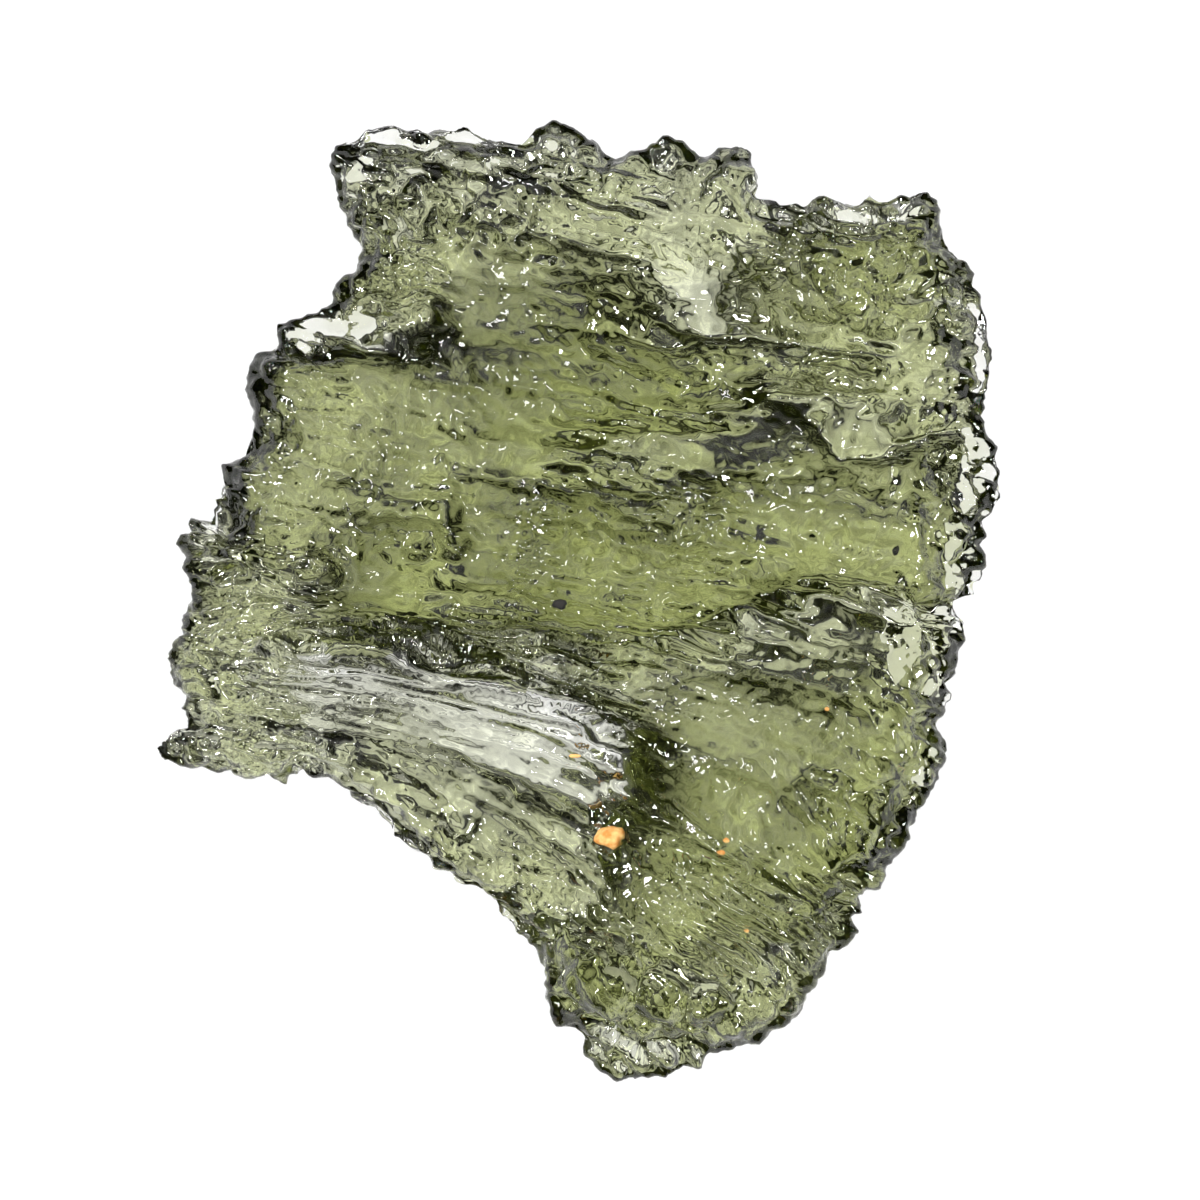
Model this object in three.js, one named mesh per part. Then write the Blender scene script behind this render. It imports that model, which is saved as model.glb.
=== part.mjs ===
// A plate of moldavite, a natural green glass, lying on its back with its broad face up.
// Millimetres, +Z up. The origin is under the middle of the stone's box, on the surface it rests on.

import * as THREE from "three";
import { ImprovedNoise } from "three/addons/math/ImprovedNoise.js";

// Driving dimensions

const FACE_LEVEL = 2.9; // height of the upper face over most of the stone
const BELLY_DEPTH = 0.06; // how far the swollen underside would reach below the rest plane
const BELLY_RISE = 0.95; // how far the underside curves up from its middle to the rim
const MEAN_REACH = 10; // from the hub to the rim, on average
const LEAST_THICKNESS = 0.7;
const EDGE_SHARE = 0.45; // height of the outermost edge, as a share of the thickness beside it
const RIM_ROUNDNESS = 0.35; // of the bevels in section, from 0 for flat ones to 1 for quarter ellipses

const FACE_RINGS = 22; // rings of the mesh on each face, from the middle to the shoulder
const SECTORS = 8; // a ring gains this many points from the one inside it
const RIM_STEPS = 4; // bands of the mesh round the broken rim
const RELAX_SWEEPS = 200; // passes that spread the inner points of a face evenly
const LEAST_AREA = 0.04; // of a triangle that a pass may leave, in square millimetres
const BLEND_SPAN = 0.025; // share of the outline, each way, over which its direction is blended
const BLEND_SAMPLES = 7; // of a bevel's width over that span

// The broken outline, clockwise seen from above, in stretches that end where it turns a corner

const TOP_EDGE = [
  [-6.3, 11.1], [-5.9, 11.6], [-5.4, 11.9], [-4.5, 12.05], [-3.8, 12.1], [-3.4, 11.9], [-3.05, 11.95],
  [-2.5, 11.8], [-1.95, 11.85], [-1.2, 11.75], [-0.7, 12], [-0.2, 11.8], [0.25, 11.4], [0.8, 11.15],
  [1.5, 11.3], [2.05, 11.55], [2.75, 11.3], [3.4, 11.2], [3.9, 11.3], [4.4, 11], [4.6, 10.7],
  [4.8, 10.25], [5.4, 10], [6.2, 10.25], [6.7, 10.25], [7.25, 10.35], [7.75, 10.2], [8.5, 10.45],
];
const RIGHT_EDGE = [
  [8.75, 10.2], [9, 9.45], [9.45, 8.9], [9.8, 8.45], [9.95, 7.8], [10.1, 7.35], [10.35, 6.75],
  [10.3, 6.3], [10.35, 5.7], [10.15, 4.9], [10.1, 4.5], [10.45, 3.8], [10.6, 3.3],
  [10.55, 2.25], [10.3, 1.7], [10.2, 0.95], [10.15, 0.4], [9.8, -0.25], [9.75, -1.1], [9.45, -1.7],
  [9.45, -2.4], [9.2, -3.2], [9.3, -3.7], [9.05, -4.55],
];
const LOWER_RIGHT_EDGE = [
  [8.65, -4.9], [8.5, -5.4], [8.05, -6], [7.7, -6.8], [7.2, -7.45], [7, -8], [6.4, -9], [5.9, -9.5],
  [5.6, -10], [5.5, -10.5],
];
const BOTTOM_EDGE = [
  [5.1, -10.75], [4.05, -11.1], [3, -11.6], [2.1, -11.9], [1, -11.9], [0.25, -11.75],
];
const LOWER_LEFT_EDGE = [
  [0.05, -11.3], [-0.15, -10.85], [-0.7, -10.45], [-0.85, -9.75], [-1, -9.1], [-1.25, -8.75],
  [-1.6, -8.6], [-1.9, -8.2], [-2.25, -7.9], [-2.5, -7.55], [-3.2, -7.35], [-4.05, -6.75],
  [-4.3, -6.35], [-4.8, -6.25], [-5.05, -5.8], [-5.55, -5.3], [-6, -4.75], [-6.8, -4.4],
];
const SPUR = [
  [-7.45, -4.65], [-7.95, -4.5], [-8.75, -4.4], [-9.6, -4.25], [-10.2, -4.05], [-10.55, -3.6],
  [-9.95, -3.4], [-9.75, -2.9],
];
const LEFT_EDGE = [
  [-9.85, -2.4], [-10.2, -2], [-10.25, -1.4], [-10, -1], [-9.95, -0.3], [-9.7, 0.05], [-9.9, 0.95],
  [-10.05, 1.75], [-9.55, 2.3], [-9.25, 2.9], [-8.7, 3.5], [-8.25, 4.1], [-8.1, 4.6], [-8.3, 5.1],
  [-8.15, 5.75], [-8.05, 6.3], [-7.85, 6.5],
];
const NOTCH = [
  [-7.65, 6.9], [-6.75, 7.1], [-6.25, 7.3], [-6.25, 7.7], [-6, 8], [-5.55, 8.2], [-5.45, 8.6],
  [-5.7, 9.1], [-5.95, 9.5], [-6, 10], [-6.25, 10.6],
];

// The bevel from the upper face's shoulder out to the edge, and the one below it, on each stretch
const STRETCHES = [
  { points: TOP_EDGE, upperBevel: 1.35, lowerBevel: 1.2 },
  { points: RIGHT_EDGE, upperBevel: 0.9, lowerBevel: 0.8 },
  { points: LOWER_RIGHT_EDGE, upperBevel: 0.9, lowerBevel: 1.1 },
  { points: BOTTOM_EDGE, upperBevel: 0.8, lowerBevel: 1.0 },
  { points: LOWER_LEFT_EDGE, upperBevel: 1.0, lowerBevel: 0.9 },
  { points: SPUR, upperBevel: 0.7, lowerBevel: 0.5 },
  { points: LEFT_EDGE, upperBevel: 1.2, lowerBevel: 0.9 },
  { points: NOTCH, upperBevel: 0.9, lowerBevel: 0.8 },
];

// A point inside the stone that sees the whole outline
const HUB = new THREE.Vector2(1, -0.5);

// Ledges, which thin the stone to the right of their path: the face drops and the back rises

const GREAT_LEDGE = [
  [-9, -1.7], [-7, -1.2], [-4.5, -1.2], [-3.2, -1.6], [-2, -2.2], [-0.5, -3], [1, -3.85], [4, -5.8],
];
const MIDDLE_LEDGE = [
  [-2.5, -0.7], [-0.5, -1.2], [1.5, -1.5], [3, -1.25], [4.2, -0.4], [5.4, 0.2], [7, -0.1], [9, -0.4],
];
const NOTCH_LEDGE = [
  [-3.2, 7.4], [-3.8, 6.6], [-5, 6.3], [-6.5, 6.3], [-8, 6],
];
const UPPER_STEP = [
  [9.1, 7.4], [8.5, 6.6], [6.8, 6.2], [5.2, 6.2], [4.1, 6.4], [2, 6.6], [0, 6.9],
];
const LOWER_STEP = [
  [-0.5, 4.1], [1.5, 4.2], [3.5, 4.4], [4.6, 5], [6.7, 5.45], [8, 5.6],
];
const RIGHT_SHELF = [
  [7.2, -6.9], [6.75, -5.8], [6.8, -4.8], [7.7, -4.1], [8.3, -2.7], [8.5, -1.6], [8.9, -0.6], [8.7, 0.7],
  [8.5, 1.5], [8.7, 2.7], [9, 4], [9.2, 5], [9.3, 5.9], [8.8, 6.5], [8.6, 7.6], [8.4, 9.3],
];
const LEDGES = [
  { path: GREAT_LEDGE, drop: 1.35, dropRun: 5.5, rise: 1, riseRun: 1.9, width: 0.75 },
  { path: MIDDLE_LEDGE, drop: 0.75, dropRun: 2.4, rise: 0.6, riseRun: 1.8, width: 0.55 },
  { path: NOTCH_LEDGE, drop: 0.9, dropRun: 1.4, rise: 0.4, riseRun: 1.4, width: 0.45 },
  { path: UPPER_STEP, drop: 0.45, dropRun: 1.6, rise: 0.3, riseRun: 1.2, width: 0.4 },
  { path: LOWER_STEP, drop: 0.5, dropRun: 2, rise: 0.4, riseRun: 1.2, width: 0.5 },
  { path: RIGHT_SHELF, drop: 0.75, dropRun: 3, rise: 0.25, riseRun: 3, width: 0.35 },
];
const LEDGE_END = 0.15; // share of a ledge's path over which it rises from nothing at each end

// Swells and hollows of the upper face
const SWELLS = [
  { at: [2.7, 7.8], radius: 1.6, height: -0.75 }, // scooped pale basin under the top rim
  { at: [-2.6, 9.9], radius: 2.2, height: -0.15 }, // thin glass at the upper left
  { at: [8.6, 4.8], radius: 1.3, height: -0.5 }, // bowl beside the right rim
  { at: [-9.6, -3.5], radius: 1.5, height: -0.9 }, // the thin spur
  { at: [-9.2, -0.4], radius: 0.7, height: -0.6 }, // pits on the left rim
  { at: [-6.3, 0.6], radius: 0.75, height: -0.45 },
  { at: [-8.4, 1.6], radius: 1, height: 0.45 }, // lumps on the left rim
  { at: [-4.4, 1.2], radius: 1.5, height: 0.3 },
  { at: [-4.3, 7.7], radius: 1.1, height: 0.4 }, // thick olive glass beside the notch
  { at: [0.4, -9.5], radius: 1.25, height: 0.55 }, // row of lumps at the foot
  { at: [2.1, -9.9], radius: 0.75, height: 0.45 },
  { at: [3.2, -10.2], radius: 0.65, height: 0.35 },
  { at: [6.2, -7.6], radius: 1.4, height: 0.35 },
  { at: [3.8, -7], radius: 2.2, height: 0.4 }, // thick dark glass at the lower right
  { at: [6.4, 7.4], radius: 2, height: 0.5 }, // smooth thick glass at the upper right
  { at: [7.3, -5.2], radius: 0.9, height: 0.35 },
  { at: [1, 3], radius: 3.5, height: 0.35 }, // the stone is thickest in the middle
];

// Uneven relief, in layers with a size along the flow of the glass and one across it
const FLOW_ANGLE = THREE.MathUtils.degToRad(-14);
const FACE_NOISE = [
  { along: 4.5, across: 4.5, height: 0.24 },
  { along: 5, across: 1.3, height: 0.34 },
  { along: 1.6, across: 1.6, height: 0.12 },
];
const BACK_NOISE = [
  { along: 5, across: 5, height: 0.4 },
  { along: 4, across: 1.4, height: 0.3 },
  { along: 1.8, across: 1.8, height: 0.14 },
];
const RIM_NOISE = [
  { along: 2.4, across: 2.4, height: 0.45 },
  { along: 1.1, across: 1.1, height: 0.35 },
];
const BEVEL_VARIATION = { size: 2.2, share: 0.45 };

const FRONT_SEED = 3.7;
const BACK_SEED = 17.3;
const RIM_SEED = 41.9;
const BEVEL_SEED = 63.1;

const perlin = new ImprovedNoise();
const sumOf = (list, value) => list.reduce((sum, item) => sum + value(item), 0);

// Sum of smooth noise layers at a point
function layeredNoise(layers, x, y, seed) {
  const u = x * Math.cos(FLOW_ANGLE) + y * Math.sin(FLOW_ANGLE);
  const v = y * Math.cos(FLOW_ANGLE) - x * Math.sin(FLOW_ANGLE);
  return sumOf(
    layers,
    ({ along, across, height }) => height * perlin.noise(u / along + seed, v / across + seed, seed),
  );
}

// Distance from a point to a path, its side (positive to the right) and the share of the path walked
function nearestOnPath(path, x, y) {
  let best = { distance: Infinity };
  for (let i = 0; i + 1 < path.length; i++) {
    const [ax, ay] = path[i];
    const dx = path[i + 1][0] - ax;
    const dy = path[i + 1][1] - ay;
    const along = THREE.MathUtils.clamp(((x - ax) * dx + (y - ay) * dy) / (dx * dx + dy * dy), 0, 1);
    const distance = Math.hypot(x - ax - along * dx, y - ay - along * dy);
    if (distance < best.distance) {
      const side = Math.sign((y - ay) * -dx + (x - ax) * dy) || 1;
      best = { distance, side, share: (i + along) / (path.length - 1) };
    }
  }
  return best;
}

// A ledge's profile at a point: a steep step from 0 to 1 at its path that dies away over the run
function ledgeStep({ path, width }, run, x, y) {
  const { distance, side, share } = nearestOnPath(path, x, y);
  const step = THREE.MathUtils.smoothstep(side * distance, -width, width);
  const fade = Math.exp(-((distance / run) ** 2));
  const ends = THREE.MathUtils.smoothstep(Math.min(share, 1 - share), 0, LEDGE_END);
  return step * fade * ends;
}

function swellHeight({ at, radius, height }, x, y) {
  const distance = Math.hypot(x - at[0], y - at[1]);
  return height * Math.exp(-((distance / radius) ** 2));
}

function backHeight(x, y) {
  const reach = Math.hypot(x - HUB.x, y - HUB.y) / MEAN_REACH;
  const belly = BELLY_RISE * reach * reach - BELLY_DEPTH;
  const risen = sumOf(LEDGES, (ledge) => ledge.rise * ledgeStep(ledge, ledge.riseRun, x, y));
  return Math.max(0, belly + risen + layeredNoise(BACK_NOISE, x, y, BACK_SEED));
}

function faceHeight(x, y) {
  const swollen = sumOf(SWELLS, (swell) => swellHeight(swell, x, y));
  const dropped = sumOf(LEDGES, (ledge) => ledge.drop * ledgeStep(ledge, ledge.dropRun, x, y));
  const height = FACE_LEVEL + swollen - dropped + layeredNoise(FACE_NOISE, x, y, FRONT_SEED);
  return Math.max(height, backHeight(x, y) + LEAST_THICKNESS);
}

// The outline as one smooth closed curve, and the stretch that each part of it belongs to
const outlinePoints = STRETCHES.flatMap(({ points }) => points);
const stretchOfPoint = STRETCHES.flatMap((stretch) => stretch.points.map(() => stretch));
const outline = new THREE.CatmullRomCurve3(
  outlinePoints.map(([x, y]) => new THREE.Vector3(x, y, 0)),
  true,
  "centripetal",
);
outline.arcLengthDivisions = 20 * outlinePoints.length;

// Share of the outline's length, brought back to between 0 and 1
const wrapped = (share) => (share + 1) % 1;

function stretchAt(share) {
  const place = outline.getUtoTmapping(share) * outlinePoints.length;
  return stretchOfPoint[Math.round(place) % outlinePoints.length];
}

// Width of one of the two bevels, blended from stretch to stretch and uneven along the outline
function bevelAt(share, bevelName, { x, y }) {
  let sum = 0;
  for (let sample = 0; sample < BLEND_SAMPLES; sample++) {
    const offset = THREE.MathUtils.lerp(-BLEND_SPAN, BLEND_SPAN, sample / (BLEND_SAMPLES - 1));
    sum += stretchAt(wrapped(share + offset))[bevelName];
  }
  const waver = perlin.noise(x / BEVEL_VARIATION.size, y / BEVEL_VARIATION.size, BEVEL_SEED);
  return (sum / BLEND_SAMPLES) * (1 + BEVEL_VARIATION.share * waver);
}

// Outline point at a share of its length, with its inward direction and the two bevels there
function outlineAt(share) {
  const edge = outline.getPointAt(share);
  const before = outline.getPointAt(wrapped(share - BLEND_SPAN));
  const after = outline.getPointAt(wrapped(share + BLEND_SPAN));
  return {
    edge: new THREE.Vector2(edge.x, edge.y),
    inward: new THREE.Vector2(after.y - before.y, before.x - after.x).normalize(),
    upperBevel: bevelAt(share, "upperBevel", edge),
    lowerBevel: bevelAt(share, "lowerBevel", edge),
  };
}

// Outermost ring of a face, a bevel's width in from the edge
function shoulderPoint(share, bevelName) {
  const { edge, inward, [bevelName]: bevel } = outlineAt(share);
  return edge.addScaledVector(inward, bevel);
}

// A point of the rim: turn is 0 at the upper shoulder, 1 at the edge and 2 at the lower shoulder
function rimPoint(turn, share) {
  const { edge, inward, upperBevel, lowerBevel } = outlineAt(share);
  const upper = shoulderPoint(share, "upperBevel");
  const lower = shoulderPoint(share, "lowerBevel");
  const upperHeight = faceHeight(upper.x, upper.y);
  const lowerHeight = backHeight(lower.x, lower.y);
  const edgeHeight = THREE.MathUtils.lerp(lowerHeight, upperHeight, EDGE_SHARE);
  const [bevel, shoulderHeight] = turn < 1 ? [upperBevel, upperHeight] : [lowerBevel, lowerHeight];
  const angle = (turn * Math.PI) / 2;
  const across = Math.abs(1 - turn);
  const inset = THREE.MathUtils.lerp(across, 1 - Math.sin(angle), RIM_ROUNDNESS);
  const rise = THREE.MathUtils.lerp(across, Math.abs(Math.cos(angle)), RIM_ROUNDNESS);
  const { x, y } = edge.addScaledVector(inward, bevel * inset);
  const z = THREE.MathUtils.lerp(edgeHeight, shoulderHeight, rise);
  const lump = layeredNoise(RIM_NOISE, x, y, RIM_SEED + z);
  return new THREE.Vector3(x, y, z + lump * Math.sin(angle));
}

// Triangles between a ring and the next one out, which has one more point in each sector
function ringTriangles(inner, outer, ring) {
  const triangles = [];
  for (let sector = 0; sector < SECTORS; sector++) {
    const innerAt = (i) => inner[(sector * ring + i) % inner.length];
    const outerAt = (i) => outer[(sector * (ring + 1) + i) % outer.length];
    for (let i = 0; i <= ring; i++) {
      triangles.push([innerAt(i), outerAt(i + 1), outerAt(i)]);
      if (i < ring) triangles.push([innerAt(i), innerAt(i + 1), outerAt(i + 1)]);
    }
  }
  return triangles;
}

// Triangles of the band between two rings with as many points each
function bandTriangles(upper, lower) {
  return upper.flatMap((_, i) => {
    const next = (i + 1) % upper.length;
    return [
      [upper[i], upper[next], lower[i]],
      [upper[next], lower[next], lower[i]],
    ];
  });
}

// Area of a flat triangle, below zero where it has folded over
function flatArea([a, b, c]) {
  return ((b.x - a.x) * (c.y - a.y) - (b.y - a.y) * (c.x - a.x)) / 2;
}

// Moves each inner point of a face to the middle of its neighbours, unless that pinches a triangle
function relax(points, triangles, innerCount) {
  const around = points.map(() => []);
  for (const triangle of triangles) {
    const corners = triangle.map((i) => points[i]);
    triangle.forEach((i) => around[i].push(corners));
  }
  for (let sweep = 0; sweep < RELAX_SWEEPS; sweep++) {
    for (let i = 0; i < innerCount; i++) {
      const smallest = () => Math.min(...around[i].map(flatArea));
      const start = points[i].clone();
      const floor = Math.min(smallest(), LEAST_AREA);
      const neighbours = around[i].flat().filter((corner) => corner !== points[i]);
      points[i].set(0, 0);
      neighbours.forEach((corner) => points[i].addScaledVector(corner, 1 / neighbours.length));
      if (smallest() < floor) points[i].copy(start);
    }
  }
}

// One face as a flat mesh, filling the outline less a bevel, with the indices of its outermost ring
function flatFace(bevelName) {
  const points = [];
  const rings = [];
  for (let ring = 0; ring <= FACE_RINGS; ring++) {
    const count = Math.max(1, SECTORS * ring);
    const shoulderAt = (i) => shoulderPoint(i / count, bevelName);
    const place = (i) => HUB.clone().lerp(shoulderAt(i), ring / FACE_RINGS);
    rings.push(Array.from({ length: count }, (_, i) => points.push(place(i)) - 1));
  }
  const triangles = rings
    .slice(0, -1)
    .flatMap((inner, ring) => ringTriangles(inner, rings[ring + 1], ring));
  const shoulder = rings[FACE_RINGS];
  relax(points, triangles, points.length - shoulder.length);
  return { points, triangles, shoulder };
}

function stoneGeometry() {
  const front = flatFace("upperBevel");
  const back = flatFace("lowerBevel");
  const vertices = [
    ...front.points.map(({ x, y }) => new THREE.Vector3(x, y, faceHeight(x, y))),
    ...back.points.map(({ x, y }) => new THREE.Vector3(x, y, backHeight(x, y))),
  ];
  const backIndex = (i) => i + front.points.length;

  const rim = [front.shoulder];
  for (let step = 1; step < RIM_STEPS; step++) {
    const turn = (2 * step) / RIM_STEPS;
    rim.push(front.shoulder.map((_, i, all) => vertices.push(rimPoint(turn, i / all.length)) - 1));
  }
  rim.push(back.shoulder.map(backIndex));

  const triangles = [
    ...front.triangles,
    ...back.triangles.map(([a, b, c]) => [a, c, b].map(backIndex)),
    ...rim.slice(0, -1).flatMap((upper, band) => bandTriangles(upper, rim[band + 1])),
  ];
  const geometry = new THREE.BufferGeometry().setFromPoints(vertices);
  geometry.setIndex(triangles.flat());
  return geometry;
}

// The geometry with the middle of its box over the origin and its lowest point on the rest plane
function restAtOrigin(geometry) {
  geometry.computeBoundingBox();
  const { min, max } = geometry.boundingBox;
  geometry.translate(-(min.x + max.x) / 2, -(min.y + max.y) / 2, -min.z);
  geometry.computeVertexNormals();
  return geometry;
}

const glass = new THREE.MeshStandardMaterial({
  name: "olive_glass",
  color: new THREE.Color(0.56, 0.6, 0.38),
  roughness: 0.2,
  metalness: 0,
  transparent: true,
  opacity: 0.7,
});

const moldavite = new THREE.Mesh(restAtOrigin(stoneGeometry()), glass);
moldavite.name = "moldavite";

const stone = new THREE.Group();
stone.add(moldavite);

export default stone;
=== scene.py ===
"""A plate of moldavite, a natural olive-green glass, on a pale glowing floor, seen from straight above."""

import bmesh
import bpy
import numpy as np
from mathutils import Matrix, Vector
from mathutils.bvhtree import BVHTree
from mathutils.kdtree import KDTree


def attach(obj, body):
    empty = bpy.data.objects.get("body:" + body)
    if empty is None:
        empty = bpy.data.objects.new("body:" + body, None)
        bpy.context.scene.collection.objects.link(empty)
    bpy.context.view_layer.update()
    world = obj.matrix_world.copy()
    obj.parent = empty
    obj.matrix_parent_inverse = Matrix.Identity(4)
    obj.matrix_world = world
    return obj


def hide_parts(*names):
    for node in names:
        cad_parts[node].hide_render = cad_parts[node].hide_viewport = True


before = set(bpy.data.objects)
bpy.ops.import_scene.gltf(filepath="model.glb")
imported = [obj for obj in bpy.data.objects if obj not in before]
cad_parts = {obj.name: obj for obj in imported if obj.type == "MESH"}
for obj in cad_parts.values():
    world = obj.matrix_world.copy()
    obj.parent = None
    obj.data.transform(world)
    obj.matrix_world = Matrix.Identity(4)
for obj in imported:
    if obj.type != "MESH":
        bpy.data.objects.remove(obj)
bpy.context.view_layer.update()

MM = 0.001
STONE = "moldavite"
WHITE = (1, 1, 1, 1)

# The photograph's frame: its scale, and the pixel that lies over the part's origin
PIXELS_PER_MM = 40
ORIGIN_PIXEL = (581, 596.4)
FRAME_PIXELS = 1200

# The fine mesh: edges longer than these, in millimetres, are halved, then the facets are smoothed away
FRONT_EDGE = 0.13
BACK_EDGE = 0.21
HALVINGS = 4
SMOOTH_PASSES = 12
SMOOTH_FACTOR = 0.5
WELD_DISTANCE = 1e-6

# Layers of relief in millimetres: length along the streaks, width across them, height
FRONT_LAYERS = [(3.2, 0.6, 0.17), (1.2, 0.28, 0.08), (0.5, 0.4, 0.06)]
DIMPLE_LAYERS = [(0.34, 0.26, 0.1), (0.22, 0.16, 0.07)]
BACK_LAYERS = [(3, 0.7, 0.25), (1.2, 0.4, 0.1)]
HATCH_LAYERS = [(2.0, 0.42, 0.95), (0.9, 0.2, 0.4)]
RIM_LAYERS = [(0.6, 0.5, 0.17)]

# How far hatched bands and the back are pressed in, and how far the whole stone then settles
HATCH_DEPTH = 0.4
BACK_DEPTH = 0.2
SETTLING = 0.11

# The seed of the first layer of each kind of noise, and the size of its shuffled table
HATCH_SEED = 1
FRONT_SEED = 11
DIMPLE_SEED = 16
BACK_SEED = 21
RIM_SEED = 31
RIM_LUMP_SEED = 41
TABLE_SIZE = 256

# The streaks' slope and lean, and where and how strongly they turn downwards, in millimetres
STREAK_SLOPE = 0.21
STREAK_LEAN = 0.25
TURN_RANGE = (-1, 5)
TURN_STRENGTH = 0.4
TURN_CENTRE = 8

# Glass thinner than this has less relief, and never gives more than a share of its thickness to a hollow
FULL_THICKNESS = 1.0
GREATEST_THICKNESS = 4
LEAST_THICKNESS = 0.01
RAY_START = 0.01
HOLLOW_SHARE = 0.4

# Rounded lumps of the broken rim, as size and height, and how far they reach in from the edge
RIM_LUMPS = [(0.8, 0.28), (0.45, 0.18)]
RIM_LUMP_LEVEL = 0.4
RIM_REACH = (0.4, 1.5)
EDGE_STEEPNESS = 0.2

# Bands of steep hatched glass, which look dark: pixels of the photograph, half width in mm, strength
DARK_BANDS = [
    ([(285, 652), (350, 645), (430, 648), (500, 675), (560, 705), (625, 740)], 0.75, 1.4),
    (
        [(470, 628), (560, 650), (640, 655), (700, 640), (760, 615), (830, 592), (900, 610), (960, 615)],
        0.5,
        1.1,
    ),
    ([(270, 340), (340, 345), (420, 352)], 0.35, 0.8),
    ([(560, 445), (640, 430), (720, 422), (770, 395), (850, 378)], 0.45, 0.5),
    ([(600, 340), (680, 338), (745, 330), (800, 352), (880, 350)], 0.3, 0.5),
    ([(620, 790), (690, 825), (750, 860)], 0.35, 0.5),
    ([(700, 880), (790, 895), (860, 870)], 0.5, 0.6),
    ([(700, 945), (790, 940), (850, 900)], 0.6, 1.1),
    ([(205, 500), (240, 560), (295, 585)], 0.8, 1.2),
    ([(440, 490), (455, 545)], 0.3, 0.7),
    ([(380, 160), (460, 150), (550, 165), (600, 190), (660, 200)], 0.5, 0.6),
    ([(400, 200), (430, 250), (440, 330)], 0.4, 0.4),
    ([(480, 230), (560, 240), (640, 250)], 0.4, 0.25),
    ([(770, 205), (830, 225), (900, 215)], 0.5, 1.1),
    ([(300, 775), (380, 825), (440, 880), (520, 930)], 0.5, 0.9),
    ([(955, 250), (970, 330), (985, 400), (985, 470), (970, 540), (955, 620), (935, 720)], 0.6, 0.45),
    ([(820, 425), (835, 460), (870, 455), (935, 435)], 0.25, 0.5),
    ([(560, 470), (640, 490), (700, 480)], 0.5, 0.35),
    ([(350, 140), (430, 128), (520, 140)], 0.5, 0.8),
    ([(780, 195), (850, 195), (915, 190)], 0.4, 0.8),
    ([(590, 1030), (640, 1045), (700, 1040)], 0.4, 0.8),
]

# Smoother patches: pixel, radius in millimetres, share of the relief that is left out
CALM_PATCHES = [
    ((850, 300), 2.0, 0.8),
    ((500, 270), 2.0, 0.5),
    ((700, 740), 2.4, 0.6),
    ((490, 790), 1.4, 0.6),
    ((400, 740), 1.2, 0.5),
    ((370, 590), 1.0, 0.6),
    ((570, 590), 0.8, 0.4),
    ((690, 285), 1.5, 0.75),
    ((590, 1000), 1.0, 0.6),
]

# Round hollows of broken bubbles: pixel, radius and depth in millimetres, and how much of them is flat
BUBBLES = [
    ((420, 548), 0.42, 0.22),
    ((460, 820), 0.6, 0.25),
    ((455, 210), 0.5, 0.25),
    ((485, 225), 0.35, 0.2),
    ((330, 575), 0.5, 0.3),
]
BUBBLE_FLAT_SHARE = 0.4

# Clear lumps standing out from the upper face: pixel, radius and height in millimetres
LUMPS = [
    ((597, 975), 1.2, 0.5),
    ((662, 992), 0.75, 0.45),
    ((708, 1005), 0.65, 0.4),
    ((640, 1030), 0.5, 0.3),
    ((750, 1000), 0.6, 0.3),
    ((330, 575), 0.7, 0.3),
    ((880, 790), 0.9, 0.4),
    ((860, 840), 0.7, 0.35),
]

# Grains on the upper face: pixel, length and width in millimetres
CLAY_GRAINS = [
    ((610, 835), 0.75, 0.55),
    ((725, 838), 0.16, 0.12),
    ((745, 928), 0.14, 0.1),
    ((825, 708), 0.12, 0.1),
    ((575, 755), 0.3, 0.1),
    ((720, 850), 0.2, 0.12),
]
DARK_GRAINS = [((560, 604), 0.36, 0.26)]

# A grain's shape: a ball of diameter 1 roughened by noise, as fineness and strength, then sunk by a share
BALL_RADIUS = 0.5
BALL_SUBDIVISIONS = 3
GRAIN_NOISE = [(3, 0.35), (7, 0.2)]
SUNK_SHARE = 0.3
DROP_HEIGHT = 1

# A grain's looks: two colours, mottled
CLAY_COLOURS = ((0.75, 0.3, 0.06, 1), (1, 0.62, 0.22, 1))
DARK_COLOURS = ((0.004, 0.004, 0.003, 1), (0.02, 0.018, 0.015, 1))
GRAIN_ROUGHNESS = 0.8
MOTTLE_SCALE = 5000
MOTTLE_STOPS = (0.35, 0.6)

# Light absorbed by the glass, per metre
ABSORPTION = (230.0, 211.0, 398.0)
ABSORPTION_DENSITY = 600.0
GLASS_IOR = 1.49

# The floor, in metres
FLOOR_SIZE = 4
FLOOR_GAP = 0.02 * MM
FLOOR_COLOUR = (0.1, 0.1, 0.1, 1)
FLOOR_ROUGHNESS = 0.9
FLOOR_GLOW = 0.95

# The plate under the stone: its inset from the rim, and more inset at clear rims, as angle and depth
PAD_CORNERS = 96
PAD_INSET = 0.15 * MM
CLEAR_RIMS = [(0, 1.25 * MM), (122, 0.8 * MM)]
CLEAR_RIM_POWER = 4
PAD_COLOUR = (0.97, 0.97, 0.97, 1)

# The room's brightness by nearness to the ceiling's brightest place
CEILING_PLACE = (-0.14, 0.16, 1)
ROOM_LEVELS = [
    (0.66, 0.01),
    (0.75, 0.08),
    (0.83, 0.3),
    (0.92, 0.5),
    (0.978, 0.65),
    (0.9945, 0.9),
    (1, 1),
]
CEILING_STRENGTH = 1.5

# Lamps that glint on the surface of the glass: name, place and size in metres, power in watts
LAMPS = [
    ("key", (-0.35, 0.42, 0.3), 0.12, 2.8),
    ("fill", (0.5, -0.15, 0.3), 0.12, 2.4),
    ("low", (-0.35, -0.35, 0.3), 0.1, 1.6),
    ("sky", (-0.16, 0.2, 0.45), 0.075, 0.4),
    ("window", (0.2, 0.05, 0.45), 0.06, 0.25),
]

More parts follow.
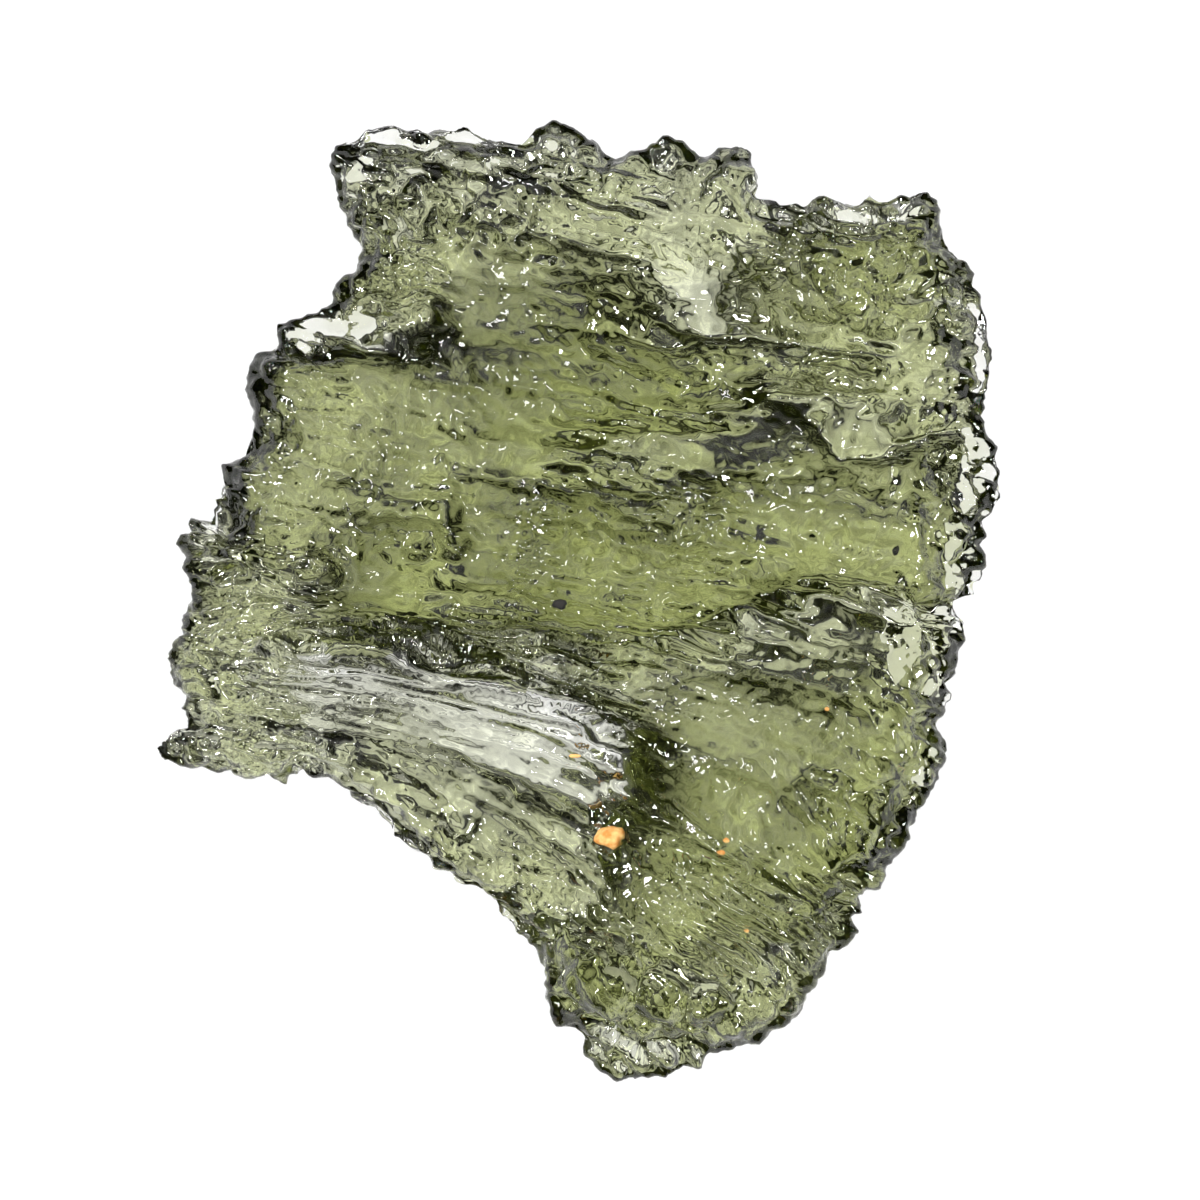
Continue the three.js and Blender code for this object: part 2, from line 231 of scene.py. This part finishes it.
# The camera: height and nearest distance seen in metres, sensor in millimetres
CAMERA_HEIGHT = 0.3
CAMERA_NEAREST = 0.01
SENSOR_WIDTH = 36


def from_pixel(x, y):
    """A pixel of the photograph as a place over the stone, in millimetres."""
    return (x - ORIGIN_PIXEL[0]) / PIXELS_PER_MM, (ORIGIN_PIXEL[1] - y) / PIXELS_PER_MM


def smoothstep(value, low, high):
    """0 up to the low value, 1 from the high value on, with a smooth rise between them."""
    share = np.clip((value - low) / (high - low), 0, 1)
    return share * share * (3 - 2 * share)


def table_entry(table, cells):
    """The entry of a shuffled table that belongs to each unit cell."""
    x, y, z = (cells % TABLE_SIZE).T
    return table[(table[(table[x] + y) % TABLE_SIZE] + z) % TABLE_SIZE]


def gradient_noise(points, seed):
    """Smooth noise, about -0.7 to 0.7, that varies over a distance of 1."""
    random = np.random.RandomState(seed)
    table = random.permutation(TABLE_SIZE)
    gradients = random.normal(size=(TABLE_SIZE, 3))
    gradients /= np.linalg.norm(gradients, axis=1)[:, None]
    cell = np.floor(points).astype(int)
    local = points - cell
    fade = local**3 * (local * (local * 6 - 15) + 10)
    total = np.zeros(len(points))
    for corner in np.ndindex(2, 2, 2):
        slope = gradients[table_entry(table, cell + corner)]
        weight = np.prod(np.where(corner, fade, 1 - fade), axis=1)
        total += weight * np.einsum("ij,ij->i", slope, local - corner)
    return total


def cell_distance(points, seed):
    """Distance to the nearest of the points scattered one to each unit cell."""
    random = np.random.RandomState(seed)
    table = random.permutation(TABLE_SIZE)
    scatter = random.uniform(size=(TABLE_SIZE, 3))
    cell = np.floor(points).astype(int)
    nearest = np.full(len(points), np.inf)
    for step in np.ndindex(3, 3, 3):
        other = cell + np.array(step) - 1
        place = other + scatter[table_entry(table, other)]
        nearest = np.minimum(nearest, np.linalg.norm(points - place, axis=1))
    return nearest


def path_distance(path, x, y):
    """Distance to the nearest point of a path of straight lines."""
    best = np.full(len(x), np.inf)
    for (ax, ay), (bx, by) in zip(path, path[1:]):
        dx, dy = bx - ax, by - ay
        along = np.clip(((x - ax) * dx + (y - ay) * dy) / (dx * dx + dy * dy), 0, 1)
        best = np.minimum(best, np.hypot(x - ax - along * dx, y - ay - along * dy))
    return best


def pixel_distance(points, pixel):
    """Distance of each point from the place under a pixel, seen from above."""
    x, y = from_pixel(*pixel)
    return np.hypot(points[:, 0] - x, points[:, 1] - y)


def flow_coordinates(points):
    """Distance along and across the streaks of the glass, which turn downwards at the lower left."""
    x, y = points[:, 0], points[:, 1]
    turn = smoothstep(-y, *TURN_RANGE)
    across = y + STREAK_SLOPE * x + TURN_STRENGTH * (x - TURN_CENTRE) * turn
    along = x - STREAK_LEAN * y
    return along, across


def layered_noise(points, layers, first_seed):
    """The sum of several layers of noise drawn out along the streaks."""
    along, across = flow_coordinates(points)
    total = np.zeros(len(points))
    for seed, (length, width, height) in enumerate(layers, first_seed):
        places = np.column_stack((along / length, across / width, points[:, 2]))
        total += height * gradient_noise(places, seed)
    return total


def greatest_length(edge):
    """How long an edge of the fine mesh may be, in metres."""
    start, end = edge.verts
    return MM * (FRONT_EDGE if start.normal.z + end.normal.z > 0 else BACK_EDGE)


def fine_mesh(node):
    """The solid's mesh, subdivided and smoothed, as a new mesh."""
    work = bmesh.new()
    work.from_mesh(node.data)
    bmesh.ops.remove_doubles(work, verts=work.verts, dist=WELD_DISTANCE)
    for _ in range(HALVINGS):
        work.normal_update()
        long_edges = [edge for edge in work.edges if edge.calc_length() > greatest_length(edge)]
        bmesh.ops.subdivide_edges(work, edges=long_edges, cuts=1)
        bmesh.ops.triangulate(work, faces=work.faces)
    for _ in range(SMOOTH_PASSES):
        bmesh.ops.smooth_vert(
            work,
            verts=work.verts,
            factor=SMOOTH_FACTOR,
            use_axis_x=True,
            use_axis_y=True,
            use_axis_z=True,
        )
    mesh = bpy.data.meshes.new(STONE + "_glass")
    work.to_mesh(mesh)
    work.free()
    return mesh


def read(collection, name):
    """The vectors of a mesh's vertices, one to a row."""
    values = np.zeros(len(collection) * 3)
    collection.foreach_get(name, values)
    return values.reshape(-1, 3)


def rim_mask(points, normals):
    """1 at the broken edge of the stone, falling to 0 further in."""
    edge = points[np.abs(normals[:, 2]) < EDGE_STEEPNESS]
    tree = KDTree(len(edge))
    for i, (x, y) in enumerate(edge[:, :2]):
        tree.insert((x, y, 0), i)
    tree.balance()
    distance = np.array([tree.find((x, y, 0))[2] for x, y in points[:, :2]])
    return 1 - smoothstep(distance, *RIM_REACH)


def local_thickness(mesh, points, normals):
    """How thick the glass is under each point of the surface, in millimetres."""
    triangles = [tuple(polygon.vertices) for polygon in mesh.polygons]
    tree = BVHTree.FromPolygons(points.tolist(), triangles)
    thickness = np.full(len(points), float(GREATEST_THICKNESS))
    for i, (start, inward) in enumerate(zip(points - RAY_START * normals, -normals)):
        hit = tree.ray_cast(start, inward, GREATEST_THICKNESS)[3]
        if hit is not None:
            thickness[i] = hit
    return thickness


def band_mask(points):
    """How strongly each point lies in one of the dark bands, from 0 up."""
    mask = np.zeros(len(points))
    for pixels, width, strength in DARK_BANDS:
        path = [from_pixel(*pixel) for pixel in pixels]
        distance = path_distance(path, points[:, 0], points[:, 1])
        mask = np.maximum(mask, strength * np.exp(-((distance / width) ** 2)))
    return mask


def lump_height(points):
    """How far the clear lumps stand out at each point."""
    total = np.zeros(len(points))
    for pixel, radius, height in LUMPS:
        total = np.maximum(total, height * (1 - (pixel_distance(points, pixel) / radius) ** 2))
    return total


def calm_mask(points):
    """The share of the relief that is kept at each point."""
    kept = np.ones(len(points))
    for pixel, radius, share in CALM_PATCHES:
        kept *= 1 - share * np.exp(-((pixel_distance(points, pixel) / radius) ** 2))
    return kept


def bubble_depth(points):
    """How deep the broken bubbles are at each point."""
    total = np.zeros(len(points))
    for pixel, radius, depth in BUBBLES:
        total += depth * (1 - smoothstep(pixel_distance(points, pixel), BUBBLE_FLAT_SHARE * radius, radius))
    return total


def relief(points, normals, thickness):
    """How far each point of the surface stands out from the smooth form, in millimetres."""
    rim = rim_mask(points, normals)
    front = (1 - rim) * (normals[:, 2] > 0)
    back = (1 - rim) * (normals[:, 2] <= 0)
    calm = calm_mask(points)
    hatch = band_mask(points) * (layered_noise(points, HATCH_LAYERS, HATCH_SEED) - HATCH_DEPTH)
    dimples = layered_noise(points, DIMPLE_LAYERS, DIMPLE_SEED)
    front_relief = calm * layered_noise(points, FRONT_LAYERS, FRONT_SEED) + hatch - bubble_depth(points)
    front_relief += np.sqrt(calm) * dimples + lump_height(points)
    back_relief = calm * layered_noise(points, BACK_LAYERS, BACK_SEED) + hatch - BACK_DEPTH
    rim_relief = layered_noise(points, RIM_LAYERS, RIM_SEED) + dimples + hatch
    for seed, (size, height) in enumerate(RIM_LUMPS, RIM_LUMP_SEED):
        rim_relief += height * (RIM_LUMP_LEVEL - cell_distance(points / size, seed) ** 2)
    height = front * front_relief + back * back_relief + rim * rim_relief
    height *= smoothstep(thickness, 0, FULL_THICKNESS)
    deepest = HOLLOW_SHARE * np.maximum(thickness, LEAST_THICKNESS)
    return np.where(height < 0, deepest * np.tanh(height / deepest), height)


def add_piece(name, mesh, material):
    """A visible piece of the part, which moves with its one body."""
    mesh.materials.clear()
    mesh.materials.append(material)
    mesh.shade_smooth()
    piece = bpy.data.objects.new(name, mesh)
    bpy.context.scene.collection.objects.link(piece)
    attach(piece, "root")
    return piece


def make_stone():
    """The stone itself, with its relief, in place of the plain solid."""
    mesh = fine_mesh(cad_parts[STONE])
    points = read(mesh.vertices, "co") / MM
    normals = read(mesh.vertex_normals, "vector")
    thickness = local_thickness(mesh, points, normals)
    points += normals * relief(points, normals, thickness)[:, None]
    points[:, 2] = np.maximum(points[:, 2] - SETTLING, 0)
    mesh.vertices.foreach_set("co", (points * MM).ravel())
    mesh.update()
    stone = add_piece(STONE + "_glass", mesh, glass_material())
    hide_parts(STONE)
    return stone


def make_grain(name, surface, pixel, length, width, material, seed):
    """A rough crumb, partly sunk in the upper face under a pixel of the photograph."""
    work = bmesh.new()
    bmesh.ops.create_icosphere(work, subdivisions=BALL_SUBDIVISIONS, radius=BALL_RADIUS)
    mesh = bpy.data.meshes.new(name)
    work.to_mesh(mesh)
    work.free()
    points = read(mesh.vertices, "co")
    swelling = np.ones(len(points))
    for fineness, strength in GRAIN_NOISE:
        swelling += strength * gradient_noise(points * fineness, seed)
    points *= swelling[:, None]
    x, y = from_pixel(*pixel)
    ground = surface.ray_cast((x * MM, y * MM, DROP_HEIGHT), (0, 0, -1))[0].z / MM
    points = points * (length, width, width) + (x, y, ground + (BALL_RADIUS - SUNK_SHARE) * width)
    mesh.vertices.foreach_set("co", (points * MM).ravel())
    mesh.update()
    add_piece(name, mesh, material)


def make_grains(stone):
    """All grains of clay and soot on the stone."""
    surface = BVHTree.FromObject(stone, bpy.context.evaluated_depsgraph_get())
    kinds = [("clay", CLAY_GRAINS, CLAY_COLOURS), ("soot", DARK_GRAINS, DARK_COLOURS)]
    for kind, grains, colours in kinds:
        material = crumb_material(kind, colours)
        for number, grain in enumerate(grains, 1):
            make_grain(f"{kind}_grain_{number}", surface, *grain, material, number)


def new_material(name, values):
    """A material with the given values on its surface."""
    material = bpy.data.materials.new(name)
    material.use_nodes = True
    inputs = material.node_tree.nodes["Principled BSDF"].inputs
    for key, value in values.items():
        inputs[key].default_value = value
    return material


def glass_material():
    """Clear glass that absorbs light along its way."""
    values = {"Base Color": WHITE, "Transmission Weight": 1, "IOR": GLASS_IOR, "Roughness": 0}
    material = new_material("olive_glass", values)
    nodes, links = material.node_tree.nodes, material.node_tree.links
    absorption = nodes.new("ShaderNodeVolumeAbsorption")
    kept = [1 - a / ABSORPTION_DENSITY for a in ABSORPTION]
    absorption.inputs["Color"].default_value = (*kept, 1)
    absorption.inputs["Density"].default_value = ABSORPTION_DENSITY
    links.new(absorption.outputs["Volume"], nodes["Material Output"].inputs["Volume"])
    return material


def crumb_material(name, colours):
    """A dull surface mottled with two colours."""
    material = new_material(name, {"Roughness": GRAIN_ROUGHNESS})
    nodes, links = material.node_tree.nodes, material.node_tree.links
    place = nodes.new("ShaderNodeTexCoord")
    mottle = nodes.new("ShaderNodeTexNoise")
    mottle.inputs["Scale"].default_value = MOTTLE_SCALE
    links.new(place.outputs["Object"], mottle.inputs["Vector"])
    ramp = nodes.new("ShaderNodeValToRGB")
    for element, position, colour in zip(ramp.color_ramp.elements, MOTTLE_STOPS, colours):
        element.position = position
        element.color = colour
    links.new(mottle.outputs["Fac"], ramp.inputs["Fac"])
    links.new(ramp.outputs["Color"], nodes["Principled BSDF"].inputs["Base Color"])
    return material


def make_floor():
    """A pale floor that glows evenly, as a light table does."""
    bpy.ops.mesh.primitive_plane_add(size=FLOOR_SIZE, location=(0, 0, -FLOOR_GAP))
    floor = bpy.context.object
    floor.name = "floor"
    values = {
        "Base Color": FLOOR_COLOUR,
        "Roughness": FLOOR_ROUGHNESS,
        "Specular IOR Level": 0,
        "Emission Color": WHITE,
        "Emission Strength": FLOOR_GLOW,
    }
    floor.data.materials.append(new_material("pale_floor", values))


def make_pad(stone):
    """A polished plate hidden under the stone, which throws the ceiling's light back up through it."""
    x, y = read(stone.data.vertices, "co")[:, :2].T
    bins = np.floor((np.arctan2(y, x) / (2 * np.pi) + 0.5) * PAD_CORNERS).astype(int)
    reach = np.hypot(x, y)
    corners = []
    for corner in range(PAD_CORNERS):
        angle = ((corner + 0.5) / PAD_CORNERS - 0.5) * 2 * np.pi
        inset = PAD_INSET
        for middle, extra in CLEAR_RIMS:
            inset += extra * max(0, np.cos(angle - np.radians(middle))) ** CLEAR_RIM_POWER
        radius = reach[bins % PAD_CORNERS == corner].max() - inset
        corners.append((radius * np.cos(angle), radius * np.sin(angle), -FLOOR_GAP / 2))
    mesh = bpy.data.meshes.new("pad")
    mesh.from_pydata(corners, [], [range(PAD_CORNERS)])
    pad = bpy.data.objects.new("pad", mesh)
    bpy.context.scene.collection.objects.link(pad)
    values = {"Base Color": PAD_COLOUR, "Metallic": 1, "Roughness": 0}
    mesh.materials.append(new_material("polished_plate", values))
    pad.visible_camera = False


def make_world():
    """A soft bright ceiling, brightest to one side, over a dim room."""
    world = bpy.data.worlds.new("studio")
    world.use_nodes = True
    bpy.context.scene.world = world
    nodes, links = world.node_tree.nodes, world.node_tree.links
    direction = nodes.new("ShaderNodeTexCoord")
    nearness = nodes.new("ShaderNodeVectorMath")
    nearness.operation = "DOT_PRODUCT"
    nearness.inputs[1].default_value = Vector(CEILING_PLACE).normalized()
    links.new(direction.outputs["Generated"], nearness.inputs[0])
    ramp = nodes.new("ShaderNodeValToRGB")
    for place, _ in ROOM_LEVELS[1:-1]:
        ramp.color_ramp.elements.new(place)
    for element, (place, level) in zip(ramp.color_ramp.elements, ROOM_LEVELS):
        element.position = place
        element.color = (level, level, level, 1)
    links.new(nearness.outputs["Value"], ramp.inputs["Fac"])
    links.new(ramp.outputs["Color"], nodes["Background"].inputs["Color"])
    nodes["Background"].inputs["Strength"].default_value = CEILING_STRENGTH


def add_lamp(name, place, size, power):
    """A square lamp aimed at the stone, which isn't seen through the glass."""
    data = bpy.data.lights.new(name, "AREA")
    data.shape = "SQUARE"
    data.size = size
    data.energy = power
    lamp = bpy.data.objects.new(name, data)
    lamp.location = place
    lamp.rotation_euler = (-Vector(place)).to_track_quat("-Z", "Y").to_euler()
    lamp.visible_transmission = False
    bpy.context.scene.collection.objects.link(lamp)


def make_camera():
    """A camera straight above, with the photograph's frame on the floor."""
    data = bpy.data.cameras.new("camera")
    data.sensor_width = SENSOR_WIDTH
    width = FRAME_PIXELS / PIXELS_PER_MM * MM
    data.lens = data.sensor_width * CAMERA_HEIGHT / width
    data.clip_start = CAMERA_NEAREST
    camera = bpy.data.objects.new("camera", data)
    x, y = from_pixel(FRAME_PIXELS / 2, FRAME_PIXELS / 2)
    camera.location = (x * MM, y * MM, CAMERA_HEIGHT)
    bpy.context.scene.collection.objects.link(camera)
    bpy.context.scene.camera = camera


stone = make_stone()
make_grains(stone)
make_floor()
make_pad(stone)
make_world()
for lamp in LAMPS:
    add_lamp(*lamp)
make_camera()
bpy.context.scene.view_settings.view_transform = "Standard"
